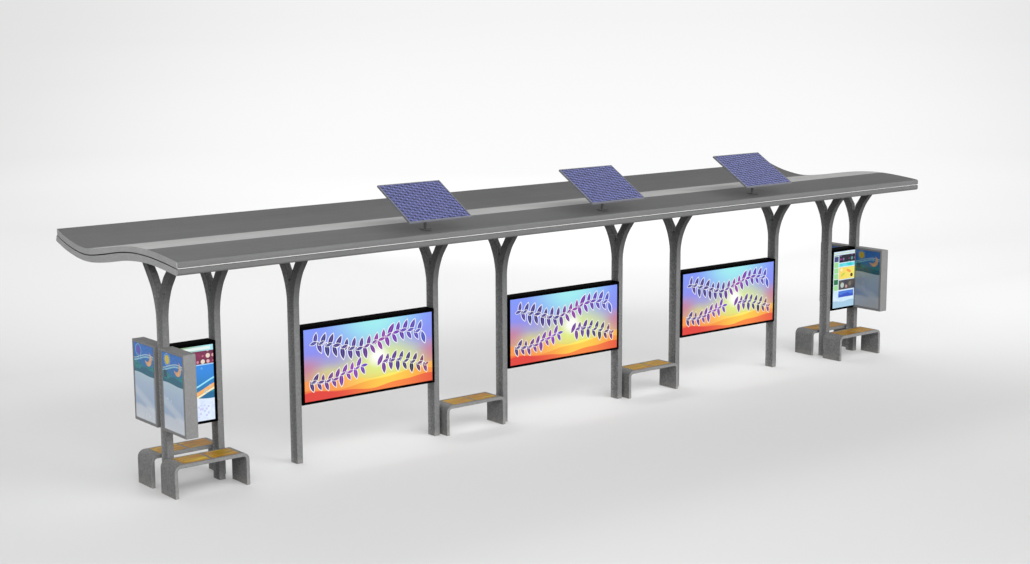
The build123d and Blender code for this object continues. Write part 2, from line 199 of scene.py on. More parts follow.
    def wave(self, s, base, *terms):
        """base + sum of amplitude * sin(frequency * s + phase)"""
        out = base
        for amp, freq, phase in terms:
            w = self.m("SINE", self.m("MULTIPLY_ADD", s, freq, phase))
            out = self.m("MULTIPLY_ADD", w, amp, out)
        return out

    def below(self, t, h, soft=0.003):
        """1 where t < h"""
        return self.mapr(self.m("SUBTRACT", h, t), -soft, soft)


# ---------------------------------------------------------------------------
# coated metals
# ---------------------------------------------------------------------------
def coated_metal(name, base, speckle=0.18, cloud=0.10, mottle=0.0, rough=0.5, grain=900.0, bump=0.25,
                 streaks=(), foot=0.0, spec=0.5, ends=None, nose=None, painted_shade_heights=None, painted_back_sheen=None, narrow=None):
    """Powder-coated metal: fine orange-peel texture, specks, soft clouding, and dust at the foot.
    ends: tone of the cap plates at both ends of the roof; nose: (y, factor), painted light that makes the faces in
    front of y lighter;
    heights: (z, factor) pairs, painted shade that grows heavier toward the roof, with painted light on the arms'
    upward faces and on the fork's root;
    worn: (y0, y1, factor), painted highlight: the broad sides grow lighter from y0 to their back edge at y1;
    narrow: (calm, factor), the front and back faces have a calmer coat, and painted light makes them lighter by the
    factor."""
    m = Mat(name)
    fine = m.noise(grain, 3.0, 0.6)
    specks = m.noise(grain * 0.28, 2.0, 0.7)
    clouds = m.noise(1.7, 4.0, 0.55)
    k = m.m("MULTIPLY", m.mapr(specks, 0.36, 0.66, 1.0 - speckle, 1.0 + speckle),
            m.mapr(clouds, 0.3, 0.7, 1.0 - cloud, 1.0 + cloud))
    height = fine
    if mottle:
        mot = m.noise(34.0, 4.0, 0.65)
        k = m.m("MULTIPLY", k, m.mapr(mot, 0.3, 0.7, 1.0 - mottle, 1.0 + mottle))
        height = m.m("MULTIPLY_ADD", mot, 1.6, fine)
    for sx, sy, sz, amp in streaks:
        s = m.noise(1.0, 3.0, 0.6, vec=m.scaled(sx, sy, sz))
        k = m.m("MULTIPLY", k, m.mapr(s, 0.3, 0.7, 1.0 - amp, 1.0 + amp))
    # painted light: the faces in front of the given y, the roof's front face, are made lighter
    if nose:
        k = m.m("MULTIPLY", k, m.mapr(m.xyz()[1], nose[0] - 0.004, nose[0] + 0.004, nose[1], 1.0))
    # the front and back faces get a calmer coat, and painted light lifts their tone by the factor
    if narrow:
        ny = m.mapr(m.m("ABSOLUTE", m.xyz(m.node("ShaderNodeNewGeometry").outputs["True Normal"])[1]), 0.7, 0.9)
        calm = m.m("MULTIPLY_ADD", m.m("SUBTRACT", 1.0, k), m.m("MULTIPLY", ny, narrow[0]), k)
        k = m.m("MULTIPLY", calm, m.m("MULTIPLY_ADD", ny, narrow[1] - 1.0, 1.0))
    # painted highlight: the broad sides are made lighter toward their back edge
    if painted_back_sheen:
        nx = m.m("ABSOLUTE", m.xyz(m.node("ShaderNodeNewGeometry").outputs["True Normal"])[0])
        back = m.m("MULTIPLY", m.mapr(m.xyz()[1], painted_back_sheen[0], painted_back_sheen[1], smooth=True), m.mapr(nx, 0.6, 0.9))
        k = m.m("MULTIPLY", k, m.m("MULTIPLY_ADD", back, painted_back_sheen[2] - 1.0, 1.0))
    if painted_shade_heights:
        normal = m.xyz(m.node("ShaderNodeNewGeometry").outputs["True Normal"])
        up = m.m("MULTIPLY", m.mapr(normal[2], 0.1, 0.3), m.mapr(m.m("ABSOLUTE", normal[0]), 0.4, 0.2))
        k = m.m("MULTIPLY", k, m.m("MULTIPLY_ADD", up, 1.9, 1.0))       # painted light: the upward-facing sides of the arms are made up to 2.9 times lighter
        painted_light_root = m.m("MULTIPLY", m.mapr(m.m("ABSOLUTE", m.m("SUBTRACT", m.xyz()[1], Y_ROW)), 0.075, 0.06),
                    m.m("MULTIPLY", m.mapr(m.m("ABSOLUTE", normal[0]), 0.4, 0.2), m.mapr(normal[2], 0.3, 0.1)))
        k = m.m("MULTIPLY", k, m.m("MULTIPLY_ADD", painted_light_root, 2.0, 1.0))    # painted light: the faces at the root of the fork are made up to 3 times lighter
        # painted shade: the tone is scaled by the (z, factor) pairs, darker toward the roof and a little lighter low
        # down
        f = m.ramp(m.m("DIVIDE", m.xyz()[2], 4.0), [(z / 4.0, (v / 2, v / 2, v / 2, 1)) for z, v in painted_shade_heights])
        k = m.m("MULTIPLY", k, m.m("MULTIPLY", m.xyz(f)[0], 2.0))
    if ends:
        base = m.mix(m.mapr(m.m("ABSOLUTE", m.xyz()[0]), 7.3085, 7.3095), base, ends)
    col = m.mix(1.0, base, m.vec(k, k, k), "MULTIPLY")
    rgh = m.mapr(fine, 0.3, 0.7, rough - 0.07, rough + 0.09)
    if foot:
        x, y, z = m.xyz()
        low = m.mapr(m.m("MULTIPLY_ADD", m.noise(14.0, 3.0, 0.6), 0.16, z), 0.20, 0.07, smooth=True)
        dust = m.m("MULTIPLY", low, foot)
        col = m.mix(dust, col, (0.30, 0.285, 0.26, 1.0))
        rgh = m.m("MULTIPLY_ADD", dust, 0.25, rgh)
    m.set(Base_Color=col, Roughness=rgh, Metallic=0.0)
    m.bsdf.inputs["IOR"].default_value = 1.45
    m.bsdf.inputs["Specular IOR Level"].default_value = spec
    m.bump(height, bump, 0.0006)
    return m.mat


# posts: painted shade toward the roof, painted light on the arms and fork root, painted highlight along the back of
# the broad sides
post_paint = coated_metal("post_paint", (0.107, 0.107, 0.108, 1), speckle=0.36, cloud=0.07, mottle=0.48, rough=0.55,
                          grain=330.0, bump=0.5, foot=0.22, spec=0.3,
                          painted_shade_heights=((0.0, 1.05), (1.9, 1.06), (2.35, 0.86), (2.75, 0.52), (3.05, 0.28)),
                          painted_back_sheen=(Y_ROW - 0.02, Y_ROW + 0.085, 1.75), narrow=(0.6, 1.0))
ROOF_GRAIN = ((0.45, 26.0, 26.0, 0.05), (0.3, 90.0, 90.0, 0.05), (0.25, 5.0, 5.0, 0.03))
# painted light: the roof's front face is made 1.55 times lighter
roof_dark = coated_metal("roof_dark", (0.0725, 0.0725, 0.0735, 1), speckle=0.10, cloud=0.04, rough=0.6, grain=500.0,
                         bump=0.3, streaks=ROOF_GRAIN, spec=0.10, ends=(0.25, 0.25, 0.25, 1), nose=(-1.753, 1.55))
roof_light = coated_metal("roof_light", (0.280, 0.280, 0.277, 1), speckle=0.08, cloud=0.04, rough=0.6, grain=500.0,
                          bump=0.3, streaks=ROOF_GRAIN, spec=0.10, ends=(0.265, 0.265, 0.265, 1))
roof_lower = coated_metal("roof_lower", (0.104, 0.104, 0.105, 1), speckle=0.10, cloud=0.04, rough=0.6, grain=500.0,
                          bump=0.3, streaks=ROOF_GRAIN, spec=0.10, ends=(0.255, 0.255, 0.255, 1))
rib_metal = coated_metal("rib_metal", (0.04, 0.04, 0.04, 1))
pole_paint = coated_metal("pole_paint", (0.082, 0.082, 0.084, 1), rough=0.6, spec=0.05)
case_black = coated_metal("case_black", (0.0011, 0.0011, 0.0012, 1), speckle=0.3, rough=0.40, bump=0.08, spec=0.0005)
box_silver = coated_metal("box_silver", (0.142, 0.142, 0.141, 1), speckle=0.10, cloud=0.05, mottle=0.10, rough=0.5,
                          grain=420.0, bump=0.3, spec=0.3)
# painted light: the bench's front and back faces are made 16% lighter
bench_paint = coated_metal("bench_paint", (0.126, 0.126, 0.125, 1), speckle=0.22, cloud=0.06, mottle=0.34, rough=0.55,
                           grain=380.0, bump=0.5, foot=0.22, spec=0.18, narrow=(0.5, 1.16))
solar_metal = coated_metal("solar_frame", (0.100, 0.103, 0.122, 1), speckle=0.08, cloud=0.06, rough=0.42)

# ---------------------------------------------------------------------------
# light strip: milky sheet with a faint row of lamps behind it
# ---------------------------------------------------------------------------
m = Mat("strip_diffuser")
x, y, z = m.xyz()
lamp = m.m("ABSOLUTE", m.m("SINE", m.m("MULTIPLY", x, math.pi / 0.125)))
milk = m.noise(60.0, 3.0, 0.6)
col = m.mix(m.mapr(milk, 0.35, 0.65, 0.0, 0.5), (0.50, 0.505, 0.495, 1), (0.40, 0.405, 0.40, 1))
m.set(Base_Color=col, Roughness=m.mapr(milk, 0.3, 0.7, 0.32, 0.5))
m.set(Emission_Color=m.mix(m.mapr(lamp, 0.1, 0.9), (0.62, 0.62, 0.58, 1), (1.0, 0.99, 0.94, 1)))
m.bsdf.inputs["Emission Strength"].default_value = 0.10
m.bump(milk, 0.15, 0.0004)
strip_diffuser = m.mat

# ---------------------------------------------------------------------------
# solar cells: blue-violet silicon under glass, fine conductors, cell gaps
# ---------------------------------------------------------------------------
TILT = math.radians(30.1)
m = Mat("solar_cell")
x, y, z = m.xyz()
across = m.m("MULTIPLY_ADD", x, 1.0, 10.0)
up = m.m("ADD", m.m("MULTIPLY_ADD", y, math.cos(TILT), 10.0), m.m("MULTIPLY", z, math.sin(TILT)))


def lines(mm, v, pitch, width, soft=0.0006):
    """1 on lines at every pitch."""
    f = mm.m("ABSOLUTE", mm.m("SUBTRACT", mm.m("FLOORED_MODULO", v, pitch), pitch / 2))
    return mm.mapr(f, pitch / 2 - width / 2 - soft, pitch / 2 - width / 2 + soft)


CELL_A, CELL_U = 1.032 / 31, 0.853 / 25
cu = m.m("FLOOR", m.m("DIVIDE", across, CELL_A))
cv = m.m("FLOOR", m.m("DIVIDE", up, CELL_U / 2))                       # each cell is cut in two halves
# lighter and darker halves alternate in slanting rows as painted glints, each a little uneven in its own tone
rows = m.m("SINE", m.m("ADD", m.m("MULTIPLY", cu, math.tau * 6 / 31), m.m("MULTIPLY", cv, math.tau * 11 / 50)))
tone = m.m("ADD", m.mapr(rows, -0.35, 0.55, 0.0, 0.84), m.m("MULTIPLY", m.white(m.vec(cu, cv, 0.5)), 0.30))
tone = m.m("ADD", tone, m.m("MULTIPLY_ADD", m.m("FLOORED_MODULO", cu, 2.0), 0.46, -0.30), clamp=True)
crystal = m.noise(150.0, 2.0, 0.6, distort=0.8)
cell = m.mix(tone, (0.001, 0.001, 0.014, 1), (0.104, 0.120, 0.310, 1))
cell = m.mix(m.mapr(crystal, 0.42, 0.62, 0.0, 0.12), cell, (0.040, 0.047, 0.19, 1))
# two bright conductors over each cell, and fine fingers across
bars = lines(m, across, CELL_A / 2, 0.0016, 0.0004)
cell = m.mix(m.m("MULTIPLY", bars, 0.40), cell, (0.20, 0.22, 0.45, 1))
fingers = lines(m, up, CELL_U / 12, 0.0006, 0.0002)
cell = m.mix(m.m("MULTIPLY", fingers, 0.25), cell, (0.12, 0.14, 0.32, 1))
gaps = m.m("MAXIMUM", lines(m, across, CELL_A, 0.0040), lines(m, up, CELL_U, 0.0020))
cell = m.mix(m.m("MULTIPLY", gaps, 0.85), cell, (0.006, 0.007, 0.030, 1))
dirt = m.noise(5.0, 4.0, 0.6)
cell = m.mix(m.mapr(dirt, 0.5, 0.8, 0.0, 0.06), cell, (0.16, 0.16, 0.18, 1))
m.set(Base_Color=cell, Roughness=m.mapr(dirt, 0.3, 0.7, 0.16, 0.30))
m.bsdf.inputs["Specular IOR Level"].default_value = 0.25
m.bsdf.inputs["Coat Weight"].default_value = 0.06
m.bsdf.inputs["Coat Roughness"].default_value = 0.06
m.bump(m.noise(30.0, 2.0, 0.5), 0.03, 0.0005)
solar_cell = m.mat

# ---------------------------------------------------------------------------
# seat boards: oiled yellow-brown timber, grain along the bench
# ---------------------------------------------------------------------------
m = Mat("seat_wood")
x, y, z = m.xyz()
board = m.white(m.vec(m.m("FLOOR", m.m("DIVIDE", m.m("ADD", x, 0.0), 0.434)), m.m("FLOOR", m.m("MULTIPLY", y, 2.5)), 0.0))
shift = m.vec(m.m("MULTIPLY", board, 7.0), m.m("MULTIPLY", board, 3.0), 0.0)
pvec = m.node("ShaderNodeVectorMath", operation="ADD")
m.put(pvec.inputs[0], m.coord)
m.put(pvec.inputs[1], shift)
wood_p = pvec.outputs[0]
warp = m.noise(2.2, 3.0, 0.55, vec=m.scaled(1.0, 5.0, 5.0, vec=wood_p))
rings = m.noise(1.0, 3.0, 0.55, vec=m.scaled(1.3, 26.0, 26.0, vec=wood_p), distort=0.6)
fibre = m.noise(1.0, 4.0, 0.7, vec=m.scaled(9.0, 420.0, 420.0, vec=wood_p))
pores = m.noise(1.0, 2.0, 0.6, vec=m.scaled(26.0, 900.0, 900.0, vec=wood_p))
tone = m.m("ADD", m.m("MULTIPLY", rings, 0.65), m.m("MULTIPLY", warp, 0.35))
wood = m.ramp(tone, ((0.30, srgb(72, 50, 2)), (0.43, srgb(134, 100, 6)), (0.54, srgb(168, 136, 10)),
                     (0.66, srgb(202, 172, 20))))
wood = m.mix(m.mapr(m.noise(1.0, 2.0, 0.5, vec=m.scaled(3.4, 9.0, 9.0, vec=wood_p)), 0.46, 0.62, 0.0, 0.50), wood, srgb(176, 104, 6))
wood = m.mix(m.mapr(fibre, 0.35, 0.7, 0.34, 0.0), wood, srgb(78, 50, 14))
wood = m.mix(m.mapr(pores, 0.60, 0.74, 0.0, 0.55), wood, srgb(48, 28, 8))
wood = m.mix(m.mapr(board, 0.0, 1.0, 0.0, 0.40), wood, srgb(146, 90, 8))
m.set(Base_Color=wood, Roughness=m.mapr(fibre, 0.3, 0.7, 0.40, 0.58))
m.bump(m.m("MULTIPLY_ADD", pores, -0.6, fibre), 0.30, 0.0009)
m.bsdf.inputs["Specular IOR Level"].default_value = 0.12
seat_wood = m.mat


# ---------------------------------------------------------------------------
# pictures: generic designs of soft fields, hills, leaves, dots and bars
# ---------------------------------------------------------------------------
def garland(m, p, col, base, amp, freq, phase, s0, s1, step, size, tints, seed, outline=(1, 1, 1, 1)):
    """Leaves in twos along the wavy line t = base + amp sin(freq s + phase), with pale outlines."""
    s, t, _ = m.xyz(p)
    fill = m.ramp(m.mapr(s, s0, s1), tints)
    for k, (shift, side, turn) in enumerate(((0.0, 1.0, 0.36), (0.5, -1.0, -0.30), (0.25, 0.15, 1.25))):
        cell = m.m("FLOOR", m.m("ADD", m.m("DIVIDE", s, step), shift))
        mid = m.m("MULTIPLY", m.m("ADD", cell, 0.5 - shift), step)
        arg = m.m("MULTIPLY_ADD", mid, freq, phase)
        inside = m.m("MULTIPLY", m.m("GREATER_THAN", mid, s0), m.m("LESS_THAN", mid, s1))
        rnd = m.white(m.vec(cell, seed + k * 3.7, 0.25))
        rnd2 = m.white(m.vec(cell, seed + k * 5.1, 1.75))
        whole = size * (0.62 if k == 2 else 1.0)
        big = m.mapr(rnd2, 0.0, 1.0, 0.78 * whole, 1.06 * whole)
        mid_t = m.m("ADD", m.m("MULTIPLY_ADD", m.m("SINE", arg), amp, base),
                    m.m("MULTIPLY_ADD", rnd, 0.030, side * size * 0.62 - 0.015))
        dx, dy = m.m("SUBTRACT", s, mid), m.m("SUBTRACT", t, mid_t)
        a = m.m("MULTIPLY_ADD", rnd2, 0.5, turn - 0.25)
        ca, sa = m.m("COSINE", a), m.m("SINE", a)
        u = m.m("SUBTRACT", m.m("MULTIPLY", dx, ca), m.m("MULTIPLY", dy, sa))
        v = m.m("ADD", m.m("MULTIPLY", dx, sa), m.m("MULTIPLY", dy, ca))
        # slim pointed leaf standing along v
        q = m.m("ADD", m.m("DIVIDE", m.m("ABSOLUTE", u), m.m("MULTIPLY", big, 0.36)),
                m.m("POWER", m.m("DIVIDE", m.m("ABSOLUTE", v), big), 2.0))
        edge = m.m("MULTIPLY", m.mapr(q, 1.38, 1.26), inside)
        body = m.m("MULTIPLY", m.mapr(q, 1.04, 0.96), inside)
        vein = m.m("MULTIPLY", m.mapr(m.m("ABSOLUTE", u), 0.004, 0.002), body)
        shade = m.mix(m.mapr(rnd, 0.0, 1.0, 0.0, 0.45), fill, (0.10, 0.02, 0.34, 1))
        col = m.mix(edge, col, outline)
        col = m.mix(body, col, shade)
        col = m.mix(m.m("MULTIPLY", vein, 0.15), col, outline)
    return col


def screen_glass(m, picture, strength, base=(0.012, 0.012, 0.014, 1)):
    smear = m.noise(3.5, 4.0, 0.6)
    dust = m.noise(260.0, 2.0, 0.7)
    m.set(Base_Color=m.mix(m.mapr(dust, 0.62, 0.75, 0.0, 0.35), base, (0.10, 0.10, 0.10, 1)),
          Roughness=m.mapr(smear, 0.3, 0.7, 0.12, 0.24), Emission_Color=picture)
    m.bsdf.inputs["Emission Strength"].default_value = strength
    m.bsdf.inputs["Specular IOR Level"].default_value = 0.10
    m.bump(smear, 0.02, 0.0005)
    return m.mat


# wide screens, 2.205 x 1.031 m, every 3.688 m
m = Mat("screen_picture")
x, y, z = m.xyz()
s = m.m("FLOORED_MODULO", m.m("ADD", x, 4.892), 3.688)
t = m.m("SUBTRACT", z, 0.868)
p = m.vec(s, t)
soft = m.noise(1.6, 2.0, 0.5, vec=p)
tt = m.m("MULTIPLY_ADD", soft, 0.16, m.m("MULTIPLY_ADD", t, 0.97, -0.08))
sky = m.ramp(tt, ((0.05, srgb(240, 112, 44)), (0.22, srgb(236, 190, 80)), (0.38, srgb(206, 200, 148)),
                  (0.50, srgb(166, 162, 206)), (0.66, srgb(136, 140, 240)), (1.0, srgb(126, 150, 250))))
_, q = m.disc(p, 1.22, 1.06, 1.02, 0.62)
sky = m.mix(m.mapr(q, 1.0, 0.1, 0.0, 0.95, smooth=True), sky, srgb(160, 240, 240))
_, q = m.disc(p, 1.36, 0.42, 0.95, 0.50)
sky = m.mix(m.mapr(q, 1.0, 0.1, 0.0, 0.85, smooth=True), sky, srgb(226, 244, 132))
_, q = m.disc(p, 1.24, 0.50, 0.24, 0.20)
sky = m.mix(m.mapr(q, 1.0, 0.15, 0.0, 1.0, smooth=True), sky, srgb(255, 255, 250))
for (edge_s, wide) in ((0.0, 0.42), (2.205, 0.36)):
    side = m.mapr(m.m("ABSOLUTE", m.m("SUBTRACT", s, edge_s)), wide, 0.0, 0.0, 1.0, smooth=True)
    mid = m.m("MULTIPLY", m.mapr(t, 0.10, 0.42, smooth=True), m.mapr(t, 0.72, 0.45, smooth=True))
    sky = m.mix(m.m("MULTIPLY", m.m("MULTIPLY", side, mid), 0.75), sky, srgb(204, 104, 138))
h1 = m.wave(s, 0.245, (0.045, 2.9, 0.8), (0.018, 8.2, 2.0))
h2 = m.wave(s, 0.165, (0.050, 2.3, 3.5), (0.014, 7.1, 0.6))
h3 = m.wave(s, 0.085, (0.036, 3.3, 1.1), (0.010, 9.6, 0.0))
lit = m.mapr(m.m("ABSOLUTE", m.m("SUBTRACT", s, 1.45)), 1.1, 0.0, 0.0, 1.0, smooth=True)
pic = m.mix(m.below(t, h1), sky, m.mix(lit, srgb(250, 150, 66), srgb(255, 236, 92)))
pic = m.mix(m.below(t, h2), pic, m.mix(lit, srgb(246, 110, 44), srgb(255, 204, 60)))
pic = m.mix(m.below(t, h3), pic, m.mix(lit, srgb(226, 54, 36), srgb(250, 130, 44)))
pic = garland(m, p, pic, 0.735, 0.080, 4.1, 0.9, 0.14, 2.06, 0.128, 0.104,
              ((0.0, srgb(40, 60, 150)), (0.18, srgb(20, 20, 110)), (0.42, srgb(50, 8, 130)),
               (0.60, srgb(150, 10, 160)), (0.78, srgb(90, 20, 180)), (1.0, srgb(40, 80, 190))), 2.0)
pic = garland(m, p, pic, 0.320, 0.075, 4.1, 3.4, 0.12, 1.02, 0.122, 0.092,
              ((0.0, srgb(30, 6, 90)), (0.40, srgb(110, 10, 130)), (0.75, srgb(150, 30, 180)),
               (1.0, srgb(90, 40, 190))), 9.0)
pic = garland(m, p, pic, 0.330, 0.070, 4.4, 1.3, 1.26, 2.12, 0.122, 0.092,
              ((0.0, srgb(120, 20, 150)), (0.40, srgb(50, 10, 120)), (0.70, srgb(14, 8, 40)),
               (1.0, srgb(150, 20, 40))), 15.0)
pix = m.noise(1.0, 1.0, 0.5, vec=m.scaled(420.0, 420.0, 420.0))
pic = m.mix(m.mapr(pix, 0.35, 0.65, 0.0, 0.06), pic, (0.4, 0.4, 0.45, 1))
screen_picture = screen_glass(m, pic, 1.0)

# narrow displays, 0.580 x 1.031 m; the left and the right one differ
m = Mat("end_picture")
x, y, z = m.xyz()
t = m.m("SUBTRACT", z, 0.868)
right_side = m.m("GREATER_THAN", x, 0.0)
s = m.m("ADD", m.m("MULTIPLY_ADD", right_side, -13.172, 6.886), x)
p = m.vec(s, t)
soft = m.noise(7.0, 3.0, 0.6, vec=p)
# left one: pale foot, blue field with ribbons and discs, plum field with round lights, pale head
left = m.mix(m.mapr(soft, 0.35, 0.65), srgb(214, 226, 255), srgb(232, 246, 255))
tiles = m.white(m.vec(m.m("FLOOR", m.m("MULTIPLY", s, 34.0)), m.m("FLOOR", m.m("MULTIPLY", t, 34.0)), 0.3))
left = m.mix(m.m("MULTIPLY", m.m("GREATER_THAN", tiles, 0.78), m.rect(s, t, 0.08, 0.50, 0.05, 0.22)), left,
             srgb(204, 206, 244))
hb = m.wave(s, 0.315, (0.018, 8.0, 0.4))
blue = m.mix(m.mapr(t, 0.30, 0.74, smooth=True), srgb(0, 116, 160), srgb(40, 136, 226))
blue = m.mix(m.below(t, m.wave(s, 0.44, (0.030, 9.0, 1.2))), blue, srgb(0, 140, 168))
blue = m.mix(m.below(t, m.wave(s, 0.375, (0.022, 11.0, 3.0))), blue, srgb(0, 104, 150))
for off, wid, tint in ((0.30, 0.026, srgb(250, 178, 96)), (0.255, 0.015, srgb(255, 236, 190)), (0.40, 0.012, srgb(150, 226, 250))):
    rib = m.m("SUBTRACT", t, m.wave(s, off + 0.12, (0.085, 5.4, 3.9)))
    blue = m.mix(m.mapr(m.m("ABSOLUTE", rib), wid + 0.003, wid - 0.003), blue, tint)
d, q = m.disc(p, 0.165, 0.665, 0.046)
blue = m.mix(d, blue, srgb(255, 246, 214))
blue = m.mix(m.ring(q, 1.25, 1.45), blue, srgb(190, 232, 255))
for cx, cy, rr in ((0.46, 0.40, 0.026), (0.52, 0.47, 0.016), (0.40, 0.72, 0.013)):
    d, q = m.disc(p, cx, cy, rr)
    blue = m.mix(m.ring(q, 0.7, 1.0), blue, srgb(140, 220, 240))
left = m.mix(m.mapr(m.m("SUBTRACT", t, hb), -0.002, 0.002), left, blue)
plum = m.mix(m.mapr(soft, 0.3, 0.7), srgb(70, 14, 46), srgb(150, 40, 84))
cellx, celly = m.m("MULTIPLY", s, 13.0), m.m("MULTIPLY", t, 13.0)
bx = m.m("SUBTRACT", m.m("FRACT", cellx), 0.5)
by = m.m("SUBTRACT", m.m("FRACT", celly), 0.5)
dots = m.white(m.vec(m.m("FLOOR", cellx), m.m("FLOOR", celly), 4.4))
rad = m.m("SQRT", m.m("MULTIPLY_ADD", bx, bx, m.m("MULTIPLY", by, by)))
on = m.mapr(m.m("SUBTRACT", m.m("MULTIPLY", dots, 0.46), rad), -0.02, 0.04)
plum = m.mix(m.m("MULTIPLY", on, 0.85), plum, m.ramp(dots, ((0.0, srgb(120, 90, 40)), (0.5, srgb(214, 120, 150)),
                                                            (0.8, srgb(250, 214, 206)), (1.0, srgb(244, 250, 220)))))
left = m.mix(m.rect(s, t, -1.0, 2.0, 0.775, 0.955), left, plum)
left = m.mix(m.rect(s, t, -1.0, 2.0, 0.955, 2.0), left, m.mix(m.mapr(s, 0.1, 0.5), srgb(150, 176, 120), srgb(170, 230, 240)))
left = m.mix(m.rect(s, t, 0.09, 0.54, 0.972, 1.012), left, srgb(232, 244, 240))
left = m.mix(m.rect(s, t, -1.0, 2.0, 0.762, 0.775), left, srgb(170, 220, 250))
# right one: bars and fields of other colours in a column, a narrow column beside it
rt = m.mix(m.mapr(soft, 0.35, 0.65), srgb(196, 226, 250), srgb(228, 246, 255))
rt = m.mix(m.below(t, m.wave(s, 0.115, (0.012, 14.0, 1.0))), rt, srgb(168, 206, 230))
sea = m.mix(m.below(t, m.wave(s, 0.245, (0.012, 21.0, 0.0), (0.006, 47.0, 1.0)), 0.004), srgb(70, 120, 220), srgb(44, 82, 196))
rt = m.mix(m.rect(s, t, 0.150, 0.560, 0.185, 0.300), rt, sea)
slate = m.mix(m.mapr(soft, 0.3, 0.7), srgb(54, 56, 74), srgb(92, 84, 70))
for cx, cy, rr, tint in ((0.25, 0.405, 0.048, srgb(196, 214, 206)), (0.36, 0.375, 0.030, srgb(206, 160, 150)),
                         (0.46, 0.42, 0.040, srgb(120, 116, 96))):
    d, q = m.disc(p, cx, cy, rr)
    slate = m.mix(m.m("MULTIPLY", d, 0.85), slate, tint)
rt = m.mix(m.rect(s, t, 0.150, 0.600, 0.325, 0.500), rt, slate)
gold = m.mix(m.mapr(s, 0.15, 0.58), srgb(252, 214, 88), srgb(240, 234, 110))
for cx, cy, a_, b_, an, tint in ((0.26, 0.60, 0.060, 0.022, 0.5, srgb(196, 214, 70)), (0.42, 0.66, 0.070, 0.024, -0.4, srgb(250, 158, 70)),
                                 (0.50, 0.575, 0.034, 0.034, 0.0, srgb(84, 40, 20)), (0.22, 0.69, 0.030, 0.030, 0.0, srgb(255, 240, 190))):
    d, q = m.disc(p, cx, cy, a_, b_, an)
    gold = m.mix(d, gold, tint)
rt = m.mix(m.rect(s, t, 0.150, 0.600, 0.515, 0.735), rt, gold)
rt = m.mix(m.rect(s, t, 0.150, 0.600, 0.750, 0.810), rt, m.mix(m.mapr(soft, 0.4, 0.6), srgb(40, 206, 206), srgb(110, 226, 240)))
night = m.mix(m.m("MULTIPLY", on, 0.8), srgb(18, 22, 34), m.ramp(dots, ((0.0, srgb(20, 90, 90)), (0.55, srgb(190, 50, 160)),
                                                                        (0.8, srgb(120, 130, 190)), (1.0, srgb(60, 200, 120)))))
rt = m.mix(m.rect(s, t, 0.150, 0.600, 0.825, 0.965), rt, night)
rt = m.mix(m.rect(s, t, -1.0, 2.0, 0.980, 1.012), rt, srgb(206, 222, 214))
stack = m.white(m.vec(0.0, m.m("FLOOR", m.m("MULTIPLY", t, 9.5)), 7.7))
side = m.ramp(stack, ((0.0, srgb(24, 120, 60)), (0.3, srgb(160, 222, 150)), (0.5, srgb(30, 90, 170)), (0.7, srgb(206, 214, 236)),
                      (0.88, srgb(60, 70, 120)), (1.0, srgb(214, 204, 214))), "CONSTANT")
rt = m.mix(m.rect(s, t, 0.018, 0.132, 0.31, 0.965), rt, side)
rt = m.mix(m.m("MULTIPLY", lines(m, t, 1.0 / 9.5, 0.010), m.rect(s, t, 0.018, 0.132, 0.31, 0.965)), rt, srgb(226, 240, 250))
pic = m.mix(right_side, left, rt)
pix = m.noise(1.0, 1.0, 0.5, vec=m.scaled(420.0, 420.0, 420.0))
pic = m.mix(m.mapr(pix, 0.35, 0.65, 0.0, 0.05), pic, (0.4, 0.4, 0.45, 1))
end_picture = screen_glass(m, pic, 1.0)


